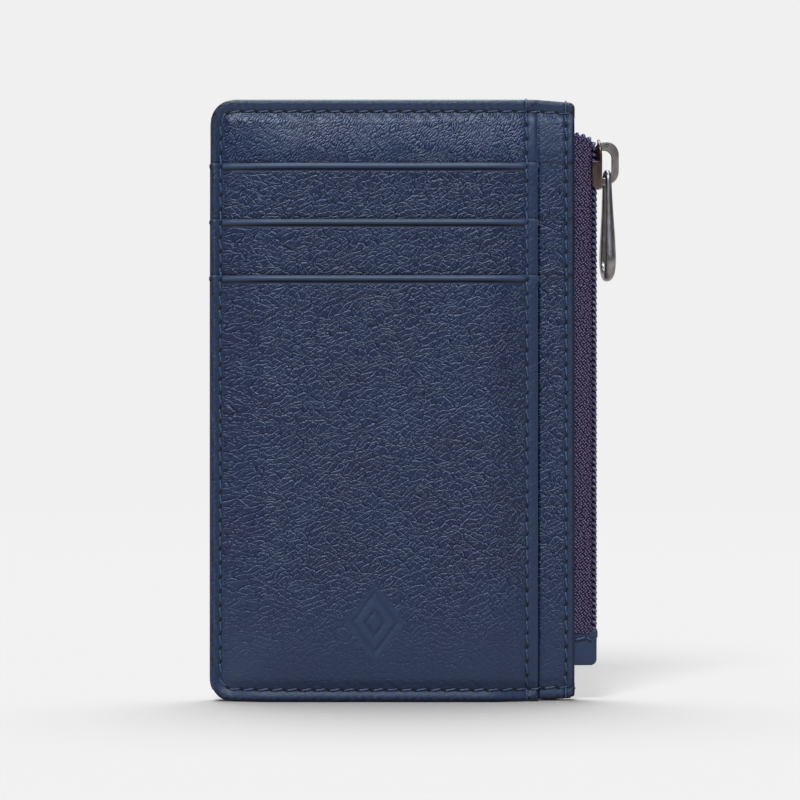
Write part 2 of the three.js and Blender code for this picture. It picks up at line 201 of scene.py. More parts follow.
def pinch(points):
    """Squeezes the stack of sheets together towards its sewn edges, and leaves the zip side open."""
    x, y, z = points.T
    # what share of its thickness the zipped pocket keeps, and the block of slots in front of it
    pocket = smooth(x - LEFT, -1.0, 17.0) * smooth(TOP - z, -1.5, 12.0)
    pocket = 0.46 + 0.54 * pocket * (0.35 + 0.65 * smooth(z, -2.0, 20.0))
    block = smooth(x - LEFT, -0.5, 12.0) * smooth(BLOCK_RIGHT - x, -0.5, 10.0)
    block = 0.42 + 0.58 * block * (0.55 + 0.45 * smooth(z, -6.0, 12.0))
    beyond = np.maximum(-y - BLOCK_BACK, 0.0)
    squeezed = (y + beyond) * pocket - beyond * block
    # the relief of the border and the two inner seams, fading towards the middle of the stack
    depth = np.clip(np.abs(y) / WALL_FRONT, 0.0, 1.0)
    pull = 1.0 + 0.3 * np.cos((z - SEAM_BOTTOM) * 2.0 * math.pi / STITCH_PITCH)
    calm = 1.0 - 0.5 * smooth(x, BLOCK_RIGHT - 0.5, BLOCK_RIGHT + 0.5) * smooth(5.0 - z, 0.0, 2.0)
    relief = calm * border_relief(x, z) * depth - 0.34 * pull * bell(x - SEAM_ZIP, 0.42 * pull) * depth
    relief -= 0.36 * pull * bell(x - SEAM_CARD, 0.4 * pull) * np.clip(-y / 4.9, 0.0, 1.0)
    x, z = ease_right_corners(x, z)
    return np.column_stack([x, squeezed + np.sign(y) * relief, z])


# ------------------------------------------------------------------ meshes
def link_object(name, data):
    obj = bpy.data.objects.new(name, data)
    bpy.context.scene.collection.objects.link(obj)
    return obj


def shade_smooth(mesh, sharp_from):
    """Smooth shading, with edges that turn by more than sharp_from degrees left sharp."""
    mesh.polygons.foreach_set("use_smooth", [True] * len(mesh.polygons))
    mesh.set_sharp_from_angle(angle=math.radians(sharp_from))


def new_object(name, verts, faces, materials, face_slots=None):
    mesh = bpy.data.meshes.new(name)
    mesh.from_pydata((np.asarray(verts) * MM).tolist(), [], faces)
    mesh.update()
    for material in materials:
        mesh.materials.append(material)
    if face_slots is not None:
        mesh.polygons.foreach_set("material_index", face_slots)
    shade_smooth(mesh, 40)
    return link_object(name, mesh)


def turned_over(faces):
    """The same faces seen from the other side. A quad keeps its first corner, and so its diagonal."""
    return [face[:1] + face[:0:-1] if len(face) == 4 else face[::-1] for face in faces]


def ring_faces(rings, sides, flip=False, closed=False):
    """Faces of a skin over rings of vertices, with an end on each side unless it closes on itself."""
    faces = []
    for k in range(rings if closed else rings - 1):
        first, after = k * sides, (k + 1) % rings * sides
        for a in range(sides):
            b = (a + 1) % sides
            faces.append([first + a, first + b, after + b, after + a])
    if not closed:
        faces.append(list(range(sides))[::-1])
        faces.append([(rings - 1) * sides + a for a in range(sides)])
    return turned_over(faces) if flip else faces


def prism(outline, first, last, along_x=False):
    """An outline in X and Z made solid along Y, or one in Y and Z made solid along X.
    It runs counter-clockwise as the front, or as the zip side, is looked at."""
    n = len(outline)
    verts = [(a, at, b) for at in sorted((first, last)) for a, b in outline]
    faces = [list(range(n)), list(range(n, 2 * n))[::-1]]
    faces += [[a, n + a, n + (a + 1) % n, (a + 1) % n] for a in range(n)]
    if along_x:
        return np.array([(x, y, z) for y, x, z in verts]), turned_over(faces)
    return np.array(verts), faces


def sheet_mesh(xs, zs, x_of, front, far, bulge, rim_rows=3):
    """A closed sheet. xs and zs are grid lines, x_of moves a row's x, front gives y, and far is the
    level of the flat hidden side. Returns vertices, faces and the number of front vertices."""
    grid_x, grid_z = np.meshgrid(xs, zs)
    grid_x = x_of(grid_x, grid_z)
    rows, columns = grid_x.shape
    verts = [np.column_stack([grid_x.ravel(), front(grid_x, grid_z).ravel(), grid_z.ravel()])]
    index = np.arange(rows * columns).reshape(rows, columns)
    corners = [index[:-1, :-1], index[:-1, 1:], index[1:, 1:], index[1:, :-1]]
    faces = np.stack(corners, -1).reshape(-1, 4).tolist()

    # the rim: rows of faces from the front's border to the hidden side, bulging outward between them
    loop = np.concatenate([index[0, :-1], index[:-1, -1], index[-1, :0:-1], index[:0:-1, 0]])
    ring = verts[0][loop]
    along = np.roll(ring, -1, 0) - np.roll(ring, 1, 0)
    outward = np.column_stack([along[:, 2], np.zeros(len(ring)), -along[:, 0]])
    outward /= np.linalg.norm(outward, axis=1)[:, None]
    previous, count, total = loop, len(loop), rows * columns
    for k in range(1, rim_rows + 2):
        t = k / (rim_rows + 1)
        row = ring + outward * bulge * math.sin(math.pi * min(t, 0.999))
        row[:, 1] = ring[:, 1] + (far - ring[:, 1]) * t
        verts.append(row)
        current = np.arange(total, total + count)
        after, before = np.roll(current, -1), np.roll(previous, -1)
        faces += np.stack([previous, current, after, before], -1).tolist()
        previous, total = current, total + count

    # the hidden side: few large faces, and those on the border take in every vertex of the rim
    behind = dict(zip(loop.tolist(), previous.tolist()))
    inside = index[BACK_STEP:-1:BACK_STEP, BACK_STEP:-1:BACK_STEP].ravel()
    if len(inside):
        behind.update(zip(inside.tolist(), range(total, total + len(inside))))
        verts.append(np.column_stack([grid_x.flat[inside], np.full(len(inside), far), grid_z.flat[inside]]))
    for r in range(0, rows - 1, BACK_STEP):
        for c in range(0, columns - 1, BACK_STEP):
            patch = index[r:r + BACK_STEP + 1, c:c + BACK_STEP + 1]
            turn = np.concatenate([patch[:-1, 0], patch[-1, :-1], patch[:0:-1, -1], patch[0, :0:-1]])
            faces.append([behind[i] for i in turn.tolist() if i in behind])
    return np.vstack(verts), faces, rows * columns


# ------------------------------------------------------------------ materials
CREASE_WIDTH = 0.105  # mm from the bottom of a crease to its shoulder
# painted shade in the grain's creases, and a painted highlight on the lit shoulder just below each crease
CREASE_SHADE, SHOULDER_HIGHLIGHT = (0.003, 0.006, 0.020), (0.102, 0.134, 0.230)
SMOOTH_LEATHER = (0.0330, 0.0520, 0.1040)
# painted shade and painted highlight for the shade attribute, which also carries the borders' blotchy tone
PAINTED_SHADE_AND_TONE, PAINTED_LIGHT_AND_TONE = (0.003, 0.004, 0.012), (0.120, 0.155, 0.220)
# zip tape: painted shade in the knit's gaps, the tape's own colour, and a painted highlight on the loops
TAPE_SHADE_TONE_HIGHLIGHT = (0.004, 0.003, 0.010), (0.066, 0.039, 0.098), (0.360, 0.260, 0.440)


def node_material(name):
    material = bpy.data.materials.new(name)
    material.use_nodes = True
    return material, material.node_tree, material.node_tree.nodes["Principled BSDF"]


def feed(tree, socket, value):
    """Gives a socket another node's output, or a number, a colour or a vector of its own."""
    if isinstance(value, bpy.types.NodeSocket):
        tree.links.new(value, socket)
    elif socket.type == "RGBA":
        socket.default_value = (*value, 1.0)
    else:
        socket.default_value = value


def add_node(tree, kind, *values, **settings):
    """A new node with its settings made and its first inputs fed in order."""
    node = tree.nodes.new(kind)
    for key, value in settings.items():
        setattr(node, key, value)
    for socket, value in zip(node.inputs, values):
        feed(tree, socket, value)
    return node


def calc(tree, operation, *values):
    return add_node(tree, "ShaderNodeMath", *values, operation=operation).outputs[0]


def mix_colour(tree, factor, first, second):
    node = add_node(tree, "ShaderNodeMix", factor, data_type="RGBA")
    feed(tree, node.inputs[6], first)
    feed(tree, node.inputs[7], second)
    return node.outputs[2]


def ramp(tree, value, low, high, to_low=0.0, to_high=1.0):
    """A smooth step from to_low, where the value is low, up to to_high."""
    values = (value, low, high, to_low, to_high)
    return add_node(tree, "ShaderNodeMapRange", *values, interpolation_type="SMOOTHSTEP").outputs[0]


def texture(tree, kind, vector, **settings):
    node = tree.nodes.new(kind)
    for key, value in settings.items():
        if key in node.inputs.keys():
            node.inputs[key].default_value = value
        else:
            setattr(node, key, value)
    feed(tree, node.inputs["Vector"], vector)
    return node


def noise(tree, vector, scale, detail, **settings):
    node = texture(tree, "ShaderNodeTexNoise", vector, Scale=scale, Detail=detail, **settings)
    return node.outputs["Fac"]


def in_cells(tree, vector, rotation, size):
    """The vector turned, then counted in cells of the given size."""
    values = (vector, (0.0, 0.0, 0.0), rotation, size)
    return add_node(tree, "ShaderNodeMapping", *values, vector_type="TEXTURE").outputs[0]


def axes_of(tree, vector):
    return add_node(tree, "ShaderNodeSeparateXYZ", vector).outputs


def coordinates(tree, kind="Object"):
    return tree.nodes.new("ShaderNodeTexCoord").outputs[kind]


def stretched_coordinates(tree, turn, size_mm):
    """Object coordinates turned about Y, then counted in cells of size_mm."""
    return in_cells(tree, coordinates(tree), (0.0, turn, 0.0), tuple(s * MM for s in size_mm))


def flat_coordinates(tree, depth_share):
    """Millimetres across and up the face. A share of the depth is added to the first, so that edges
    are not streaked."""
    axes = axes_of(tree, coordinates(tree))
    across = calc(tree, "MULTIPLY_ADD", axes["Y"], depth_share, axes["X"])
    flat = [calc(tree, "DIVIDE", value, MM) for value in (across, axes["Z"])]
    return add_node(tree, "ShaderNodeCombineXYZ", *flat).outputs[0]


def bump(tree, bsdf, height, strength, distance_mm):
    node = tree.nodes.new("ShaderNodeBump")
    for key, value in (("Strength", strength), ("Distance", distance_mm * MM), ("Height", height)):
        feed(tree, node.inputs[key], value)
    feed(tree, bsdf.inputs["Normal"], node.outputs[0])


def paint(tree, bsdf, colour, rough, gloss=0.5):
    for key, value in (("Base Color", colour), ("Roughness", rough), ("Specular IOR Level", gloss)):
        feed(tree, bsdf.inputs[key], value)


def cell_distance(tree, vector, turn, size):
    """Distance to the nearest crease of a flat net of cells, in cells."""
    settings = dict(voronoi_dimensions="2D", feature="DISTANCE_TO_EDGE", Scale=1.0, Randomness=0.9)
    cells = in_cells(tree, vector, (0.0, 0.0, turn), (*size, 1.0))
    return texture(tree, "ShaderNodeTexVoronoi", cells, **settings).outputs["Distance"]


def rounded(tree, distance, width):
    """0 in a crease, rising steeply and then level at 1 from one width away."""
    near = calc(tree, "MINIMUM", calc(tree, "DIVIDE", distance, width), 1.0)
    return calc(tree, "MULTIPLY", near, calc(tree, "SUBTRACT", 2.0, near))


def attribute(tree, name):
    """The value of one of the mesh's point attributes, 0 where the mesh has none."""
    return add_node(tree, "ShaderNodeAttribute", attribute_name=name).outputs["Fac"]


def leather_material(name, cell, slant, crossing=1.0, tone=1.0):
    """Pebbled cowhide. The mesh attribute grain says how strong the grain is at each point,
    and the attribute shade where it is made pale (above 0) or dark (below 0): painted light and shade, and
    blotchy tone on the borders."""
    material, tree, bsdf = node_material(name)
    plane = flat_coordinates(tree, 0.9)
    flat = dict(noise_dimensions="2D")
    warp = texture(tree, "ShaderNodeTexNoise", plane, Scale=0.3, Detail=1.0, **flat).outputs["Color"]
    shift = add_node(tree, "ShaderNodeVectorMath", warp, (1.6,) * 3, plane, operation="MULTIPLY_ADD")
    warped = shift.outputs[0]
    # the nets moved a little down: the lit shoulder under each crease, where the highlight is painted
    lower = add_node(tree, "ShaderNodeVectorMath", warped, (0.03, 0.19, 0.0)).outputs[0]
    amount, shade = attribute(tree, "grain"), attribute(tree, "shade")
    pores = noise(tree, plane, 3.2, 3.0, Roughness=0.6, **flat)
    cloud = noise(tree, plane, 0.09, 3.0, **flat)
    patch = noise(tree, plane, 0.2, 2.0, **flat)
    share = ramp(tree, patch, 0.35, 0.65, 0.5, 1.0)
    rest = calc(tree, "MULTIPLY_ADD", share, -crossing, 1.35 * crossing)

    nets = (
        (slant * 1.35, (cell * 3.4, cell * 1.0), share),
        (-slant, (cell * 2.8, cell * 1.1), rest),
        (slant * 0.9, (cell * 1.2, cell * 0.55), 0.22),
    )
    height, dark, light = 0.0, 0.0, 0.0
    for turn, size, weight in nets:
        width = CREASE_WIDTH / size[1]
        near = cell_distance(tree, warped, turn, size)
        top = rounded(tree, near, width * 1.6)
        crease = ramp(tree, near, 0.0, width, 1.0, 0.0)
        shoulder = ramp(tree, cell_distance(tree, lower, turn, size), 0.0, width, 1.0, 0.0)
        height = calc(tree, "MULTIPLY_ADD", top, weight, height)
        dark = calc(tree, "MULTIPLY_ADD", crease, weight, dark)
        light = calc(tree, "MULTIPLY_ADD", shoulder, weight, light)
    height = calc(tree, "MULTIPLY_ADD", pores, 0.25, height)
    bump(tree, bsdf, height, calc(tree, "MULTIPLY_ADD", amount, 0.9, 0.1), cell * 0.09)

    deep = (0.0044 * tone, 0.0098 * tone, 0.0455 * tone)
    pale = (0.0036 * tone, 0.0155 * tone, 0.0535 * tone)
    colour = mix_colour(tree, ramp(tree, cloud, 0.3, 0.7), deep, pale)
    # painted shade in the creases, and a painted highlight along each crease's lit shoulder, broken up by
    # the pores
    flecked = calc(tree, "MULTIPLY", light, ramp(tree, pores, 0.3, 0.7))
    lit = calc(tree, "MULTIPLY", calc(tree, "MULTIPLY_ADD", dark, -0.8, flecked), amount)
    dark = calc(tree, "MULTIPLY", calc(tree, "MULTIPLY_ADD", light, -0.6, dark), amount)
    layers = (
        (ramp(tree, dark, 0.0, 0.8, 0.0, 0.85), CREASE_SHADE),
        (ramp(tree, lit, 0.05, 0.42), SHOULDER_HIGHLIGHT),
        (calc(tree, "MULTIPLY_ADD", amount, -0.8, 0.8), SMOOTH_LEATHER),
        (ramp(tree, shade, -1.0, 0.0, 1.0, 0.0), PAINTED_SHADE_AND_TONE),
        (ramp(tree, shade, 0.0, 1.0), PAINTED_LIGHT_AND_TONE),
    )
    for factor, layer in layers:
        colour = mix_colour(tree, factor, colour, layer)
    rough = calc(tree, "MULTIPLY_ADD", amount, -0.09, ramp(tree, pores, 0.3, 0.7, 0.43, 0.54))
    gloss = calc(tree, "MULTIPLY_ADD", amount, 0.16, ramp(tree, dark, 0.0, 1.0, 0.30, 0.0))
    paint(tree, bsdf, colour, rough, gloss)
    return material


def cloth_material(name, dark, light, pitch):
    """Plain weave from two crossed waves."""
    material, tree, bsdf = node_material(name)
    cells = stretched_coordinates(tree, 0.0, (pitch,) * 3)
    angles = [calc(tree, "MULTIPLY", axes_of(tree, cells)[axis], 2 * math.pi) for axis in "XZ"]
    weave = calc(tree, "MULTIPLY", *[calc(tree, "SINE", angle) for angle in angles])
    height = calc(tree, "MULTIPLY_ADD", noise(tree, cells, 1.6, 3.0), 0.8, weave)
    paint(tree, bsdf, mix_colour(tree, ramp(tree, height, -0.5, 1.5), dark, light), 0.9)
    bump(tree, bsdf, height, 0.8, pitch * 0.25)
    bsdf.inputs["Sheen Weight"].default_value = 0.15
    return material


def knit_material(name, dark, middle, light, loop_mm):
    """Knitted zip tape: slanting staggered rows of small raised loops, coloured by height: painted shade in
    the gaps and a painted highlight on the loops' tops.
    """
    material, tree, bsdf = node_material(name)
    cells = in_cells(tree, flat_coordinates(tree, 0.0), (0.0, 0.0, math.radians(38)), (*loop_mm, 1.0))
    settings = dict(voronoi_dimensions="2D", Scale=1.0, Randomness=0.38)
    loops = texture(tree, "ShaderNodeTexVoronoi", cells, **settings).outputs["Distance"]
    raised = calc(tree, "SUBTRACT", 0.75, loops)
    height = calc(tree, "MULTIPLY_ADD", noise(tree, cells, 1.3, 3.0), 0.35, raised)
    colour = mix_colour(tree, ramp(tree, height, 0.40, 0.62), dark, middle)
    paint(tree, bsdf, mix_colour(tree, ramp(tree, height, 0.66, 0.90), colour, light), 0.7, 0.22)
    bump(tree, bsdf, height, 1.0, 0.3)
    return material


def fibre_material(name, dark, light, rough, grain_mm=0.12):
    """Thread, board or moulded coil: fine streaky noise."""
    material, tree, bsdf = node_material(name)
    cells = stretched_coordinates(tree, 0.5, (grain_mm, grain_mm, grain_mm * 4))
    streaks = noise(tree, cells, 1.0, 2.0)
    paint(tree, bsdf, mix_colour(tree, ramp(tree, streaks, 0.3, 0.7), dark, light), rough)
    bump(tree, bsdf, streaks, 0.35, 0.03)
    return material


def metal_material(name, dark, light, rough):
    """Gunmetal plating with a brownish cloud and faint rubbing marks."""
    material, tree, bsdf = node_material(name)
    cloud = noise(tree, stretched_coordinates(tree, 0.0, (2.2, 2.2, 3.0)), 1.0, 2.0)
    rub = noise(tree, stretched_coordinates(tree, 0.15, (0.06, 0.06, 1.3)), 1.0, 4.0)
    worn = ramp(tree, rub, 0.3, 0.7, rough - 0.07, rough + 0.07)
    paint(tree, bsdf, mix_colour(tree, ramp(tree, cloud, 0.35, 0.65), dark, light), worn)
    bump(tree, bsdf, rub, 0.25, 0.02)
    bsdf.inputs["Metallic"].default_value = 1.0
    return material


LEATHER = leather_material("leather_front", 1.0, math.radians(25))
# the panel above the slots: finer grain, and a paler copy (tone 1.25) that is painted light, as the top
# catches more light
LEATHER_TOP_LIT = leather_material("leather_top_lit", 0.52, math.radians(33), 0.2, 1.25)
LEATHER_FINE = leather_material("leather_fine", 0.92, math.radians(28), 0.9, 1.05)
LINING = cloth_material("lining", (0.012, 0.016, 0.034), (0.028, 0.036, 0.07), 0.3)
BOARD = fibre_material("board", (0.22, 0.18, 0.13), (0.36, 0.31, 0.24), 0.9, 0.4)
TAPE = knit_material("tape", *TAPE_SHADE_TONE_HIGHLIGHT, (0.54, 0.46))
THREAD = fibre_material("thread", (0.020, 0.034, 0.078), (0.076, 0.112, 0.190), 0.5)
# near black: painted shade for the needle holes and for the gaps round the coil's cord
HOLE_SHADE = fibre_material("needle_hole_shade", (0.002, 0.003, 0.008), (0.004, 0.006, 0.014), 0.9)
COIL = fibre_material("coil", (0.034, 0.028, 0.080), (0.120, 0.104, 0.220), 0.26)
METAL = metal_material("gunmetal", (0.20, 0.175, 0.165), (0.31, 0.29, 0.285), 0.38)
METAL_WARM = metal_material("gunmetal_warm", (0.080, 0.042, 0.031), (0.160, 0.115, 0.100), 0.33)
# near black: painted shade in the slider's hollow and in the bail's pressed ovals
METAL_SHADE = metal_material("gunmetal_shade", (0.010, 0.007, 0.006), (0.022, 0.017, 0.016), 0.6)
# painted light: a paler copy of the gunmetal for the bail, which otherwise reflects only the dim room
METAL_LIT = metal_material("gunmetal_lit", (0.30, 0.25, 0.23), (0.42, 0.37, 0.35), 0.40)


# ------------------------------------------------------------------ leather surfaces
def emblem(x, z):
    """A generic pressed mark: one lozenge line round a smaller one."""
    centre = (-3.6, 16.6)
    reach = np.abs(x - centre[0]) / 0.74 + np.abs(z - centre[1])
    line = np.maximum(bell(reach - 6.2, 0.55), bell(reach - 2.6, 0.5))
    return line, smooth(9.5 - reach, 0.0, 2.5)


def leather_heights(x, z, limits, lip, pebble, mark):
    """Height of a panel's face above its CAD face, in mm, the strength of the fine grain,
    and the shade: painted light (above 0) and painted shade (below 0), with blotchy tone on the borders."""
    (right, bottom, top), (cell, slant) = limits, pebble
    whole = right > RIGHT - 1.0
    seam = x - (SEAM_ZIP if whole else SEAM_CARD)
    sewn = inside_distance(x, z, SEAM_LEFT, RIGHT + 60.0, SEAM_BOTTOM, SEAM_TOP, SEAM_CORNER)
    inner = smooth(sewn, 0.5, 3.0) * smooth(np.abs(seam), 0.4, 2.0)

    # the cut edges are rounded, and the face rises and falls a little
    free = np.minimum(right - x, top - z if lip else 99.0)
    if bottom > 1.5:
        free = np.minimum(free, z - bottom)
    roll = 0.7
    height = -0.30 * (1.0 - np.sqrt(1.0 - (1.0 - np.clip(free, 0.0, roll) / roll) ** 2))
    height += 0.10 * waves(x, z, 16.0, 21) * inner

    # the grain is pressed flat along the seams, on the borders and towards the bottom
    calm = smooth(np.abs(sewn), 0.2, 0.7) * smooth(np.abs(seam), 0.2, 0.7)
    calm *= np.where((sewn < 0.0) | (seam > 0.0), 0.4, 1.0) * (0.35 + 0.65 * smooth(z, 2.0, 34.0))

    # shade: blotchy borders, a painted highlight on the bead's crest, and the painted shade and light below
    shade = smooth(-sewn, 0.2, 0.8) * (0.3 * waves(x, z, 1.1, 11) - 0.14) + 0.08 * bell(sewn + 0.95, 0.3)
    # darker outer edges, and a painted shadow along the bottom where the wallet meets the floor
    shade -= 0.62 * bell(inside_distance(x, z) - 0.05, 0.38) + 0.5 * (1.0 - smooth(z, 0.5, 1.1))
    # painted shade in the seams' grooves, and a darker band beyond each inner seam
    shade -= 0.62 * np.maximum(bell(sewn, 0.34), bell(seam, 0.34)) + 0.18 * smooth(seam, 0.3, 0.8)
    # painted light on the panel low down
    shade += 0.12 * inner * (1.0 - smooth(z, 6.0, 26.0))
    # a painted shadow just above each lip's edge, on every sheet that reaches higher
    for edge in LIPS:
        if top > edge + 0.1:
            shade -= 0.8 * bell(z - edge - 0.22, 0.28)
    # a lip: its rolled edge stands up with a painted highlight along it, and painted shade in the crease
    # below
    if lip:
        below = top - z
        between = smooth(x, SEAM_LEFT, SEAM_LEFT + 0.6) * smooth(SEAM_CARD - x, -0.1, 0.4)
        height += between * (0.16 * bell(below - 0.6, 0.42) - 0.36 * bell(below - 1.35, 0.25))
        shade += between * (0.42 * bell(below - 0.34, 0.30) - 0.85 * bell(below - 1.22, 0.38))
        calm *= smooth(below, 1.3, 1.9)
    height += (0.05 * pebbles(x + 0.4 * waves(x, z, 5.0, 3), z, cell, 1.7, slant, 5) - 0.03) * calm
    if mark:
        line, plain = emblem(x, z)
        height -= 0.32 * line + 0.06 * plain
        calm *= 1.0 - 0.8 * plain
    if whole and not lip:
        height -= 0.3 * bell(x - BLOCK_RIGHT - 0.35, 0.35)
        calm *= 1.0 - 0.5 * smooth(z, 100.0, 118.0)
    return height, np.clip(calm, 0.0, 1.0), np.clip(shade, -1.0, 1.0)


def slot_for(node):
    return next(s["material_slot"] for s in frame["record"]["subparts"] if s["node"] == node)


def sheet_piece(node, material, step, fine_x=(), fine_z=(), detail=None, outward=-1, bulge=0.12, lip=False):
    """A pinched sheet in the place of a CAD node.
    detail(x, z) gives its height, grain and shade, and outward is -1 on the front."""
    low, high = box_mm(node)
    lifted = FRONT_LIFT if detail is not None and outward < 0 else BOTTOM
    bottom = lifted + bulge if low[2] < 1.0 else low[2]
    at_left = low[0] < LEFT + 1.5
    inset = max(low[0] - LEFT, 0.0) if at_left else 0.0
    xs = lines(low[0], high[0], step, fine_x)
    zs = lines(bottom, high[2], step, fine_z)
    reach = min(8.0, high[0] - low[0])

    def x_of(x, z):
        """Pushes the left edge in at round corners, and lets the ends of a lip stand out a little."""
        if not at_left:
            return x
        moved = x + corner_shift(z, inset) * np.clip(1.0 - (x - low[0]) / reach, 0.0, 1.0)
        if lip:
            proud = bell(high[2] - z - 0.5, 0.6)
            moved += 0.5 * proud * smooth(x, high[0] - 1.4, high[0])
            moved -= 0.3 * proud * smooth(low[0] + 1.4 - x, 0.0, 1.4)
        return moved

    near, far = (low[1], high[1]) if outward < 0 else (high[1], low[1])
    heights = {}

    def front(x, z):
        if detail is None:
            return np.full_like(x, near)
        height, heights["grain"], heights["shade"] = detail(x, z)
        return near + outward * height

    verts, faces, count = sheet_mesh(xs, zs, x_of, front, far, bulge)
    if outward < 0:
        faces = [f[::-1] for f in faces]
    obj = new_object(f"{node}_skin", pinch(verts), faces, [material])
    for name, field in heights.items():
        values = np.zeros(len(verts), np.float32)
        values[:count] = field.ravel()
        obj.data.attributes.new(name, "FLOAT", "POINT").data.foreach_set("value", values)
    return place(obj, node, "wallet")


def place(obj, node, body):
    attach(obj, body)
    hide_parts(node)
    return obj


def build_leather():
    seam_x = [(SEAM_LEFT, 0.7, 0.16), (SEAM_CARD, 0.7, 0.16), (LEFT, 1.2, 0.14), (BLOCK_RIGHT, 0.8, 0.14)]
    ends = [(TOP, 3.2, 0.16), (SEAM_BOTTOM, 2.6, 0.18)]
    pebble, small_pebble = (1.25, math.radians(14)), (0.95, math.radians(38))

    def panel(node, material, limits, lip, grain, step, fine_x, fine_z, outward=-1, mark=False):
        def detail(x, z):
            return leather_heights(x, z, limits, lip, grain, mark)

        return sheet_piece(node, material, step, fine_x, fine_z, detail, outward, lip=lip)

    mark_x, mark_z = [(-3.6, 5.5, 0.2)], [(16.6, 6.8, 0.22)]
    panel("front_pocket_panel", LEATHER, (BLOCK_RIGHT, 0.0, LIPS[2]), True, pebble, 0.42,
          seam_x + mark_x, [(LIPS[2], 2.0, 0.13), (SEAM_BOTTOM, 2.6, 0.18)] + mark_z, mark=True)
    for i, below in ((1, LIPS[1]), (2, LIPS[2])):
        panel(f"slot_{i}_strip", LEATHER, (BLOCK_RIGHT, below - 3.0, LIPS[i - 1]), True, pebble, 0.42,
              seam_x, [(LIPS[i - 1], 2.0, 0.13), (LIPS[i], 0.7, 0.13)])
    panel("card_back_panel", LEATHER_TOP_LIT, (BLOCK_RIGHT, 0.0, TOP), False, small_pebble, 3.0,
          seam_x + [(0.0, 40.0, 0.42)], [(TOP, 3.2, 0.16), (TOP - 8, 8.0, 0.42), (LIPS[0], 0.7, 0.13)])
    panel("front_panel", LEATHER_FINE, (RIGHT, 0.0, TOP), False, small_pebble, 2.4,
          [(SEAM_ZIP, 1.6, 0.16), (33.5, 5.0, 0.4), (RIGHT, 1.0, 0.14), (BLOCK_RIGHT + 0.35, 0.6, 0.14)],
          ends + [(62.0, 64.0, 0.42)])
    rear_x = [(SEAM_LEFT, 0.7, 0.2), (SEAM_ZIP, 1.2, 0.2), (LEFT, 1.2, 0.18), (RIGHT, 0.8, 0.18)]
    panel("rear_panel", LEATHER, (RIGHT, 0.0, TOP), False, pebble, 0.5, rear_x, ends, outward=1)


def build_layers():
    """The sheets between the outer panels: turned edges, hems, linings, stiffeners, bags and floors."""
    plain = {"leather": LEATHER, "lining": LINING, "board": BOARD, "tape": TAPE}
    shaped = {*FRONTS, "front_panel", "rear_panel", "zip_end_tab"}
    shaped |= {"front_zip_end", "rear_zip_end", "front_zip_tape", "rear_zip_tape"}
    for node in frame["record"]["behaviour"]["bodies"]["wallet"]:
        slot = slot_for(node)
        if node in shaped or slot not in plain:
            continue
        turned = node.endswith(("turned_edge", "hem"))
        sheet_piece(node, plain[slot], 2.5, [(LEFT, 2.0, 0.5)], [(TOP, 3.0, 0.5), (0.0, 3.0, 0.5)],
                    bulge=0.28 if turned else 0.05)


# ------------------------------------------------------------------ stitching
def front_level(x, z):
    """Height of the outermost leather on the front before the pinch."""
    block = np.select([z > LIPS[0], z > LIPS[1], z > LIPS[2]], LEVELS[:3], LEVELS[3])
    return np.where(x > BLOCK_RIGHT + 0.2, WALL_FRONT, block)


STITCH_RADIUS, WRAP_RADIUS, TAB_STITCH_RADIUS = 0.18, 0.2, 0.19
PLY = dict(twist=3.4, lobes=0.2)  # two twisted strands show as lobes round the thread
HOLE_SIZE, TAB_HOLE_SIZE = (0.74, 0.33, 0.24), (0.34, 0.19, 0.12)


def directions(points):
    """The unit direction of a line at each of its points."""
    along = np.gradient(points, axis=0)
    return along / np.linalg.norm(along, axis=1)[:, None]


def tube(points, radius, sides=8, twist=0.0, lobes=0.0):
    """A closed tube through the points, with rounded ends and, if asked, a twisted two-ply section."""
    points = np.asarray(points, float)
    count = len(points)
    size = np.array(np.broadcast_to(radius, count), float)
    size[[0, -1]] *= 0.55
    along = directions(points)
    reference = np.array([0.0, 1.0, 0.0]) if abs(along[0][1]) < 0.9 else np.array([1.0, 0.0, 0.0])
    side = np.cross(along, reference)
    side /= np.linalg.norm(side, axis=1)[:, None]
    other = np.cross(side, along)
    travelled = np.concatenate([[0.0], np.cumsum(np.linalg.norm(np.diff(points, axis=0), axis=1))])
    angle = np.linspace(0, 2 * math.pi, sides, endpoint=False)
    verts = []
    for k in range(count):
        r = size[k] * (1.0 + lobes * np.cos(2 * (angle - travelled[k] * twist)))
        ring = np.outer(r * np.cos(angle), side[k]) + np.outer(r * np.sin(angle), other[k])
        verts.append(points[k] + ring)
    return np.vstack(verts), ring_faces(count, sides)


def flat_bead(centre, half_sizes, turn, sides=8):
    """A small flattened bead in the XZ plane: painted shade for the needle hole at a stitch's end."""
    half_long, half_wide, half_high = half_sizes
    angle = np.linspace(0, 2 * math.pi, sides, endpoint=False)
    rings = []
    for level, size in ((-1.0, 0.3), (0.0, 1.0), (1.0, 0.3)):
        u, v = half_long * size * np.cos(angle), half_wide * size * np.sin(angle)
        x, z = u * math.cos(turn) - v * math.sin(turn), u * math.sin(turn) + v * math.cos(turn)
        rings.append(np.column_stack([x, np.full(sides, half_high * level), z]) + centre)
    return np.vstack(rings), ring_faces(3, sides, flip=True)


def stitch_arch(t, rise, dive):
    """How far a stitch stands up along itself, t from -1 to 1: it arches, then dives into its holes."""
    return rise * np.sqrt(1.0 - t**2) - dive * np.abs(t) ** 7


class Parts:
    """Collects small closed solids into one mesh, each with its own material slot."""

    def __init__(self):
        self.verts, self.faces, self.slots, self.count = [], [], [], 0

    def add(self, verts, faces, slot=0):
        self.verts.append(verts)
        self.faces += [[i + self.count for i in f] for f in faces]
        self.slots += [slot] * len(faces)
        self.count += len(verts)

    def build(self, name, materials):
        return new_object(name, np.vstack(self.verts), self.faces, materials, self.slots)


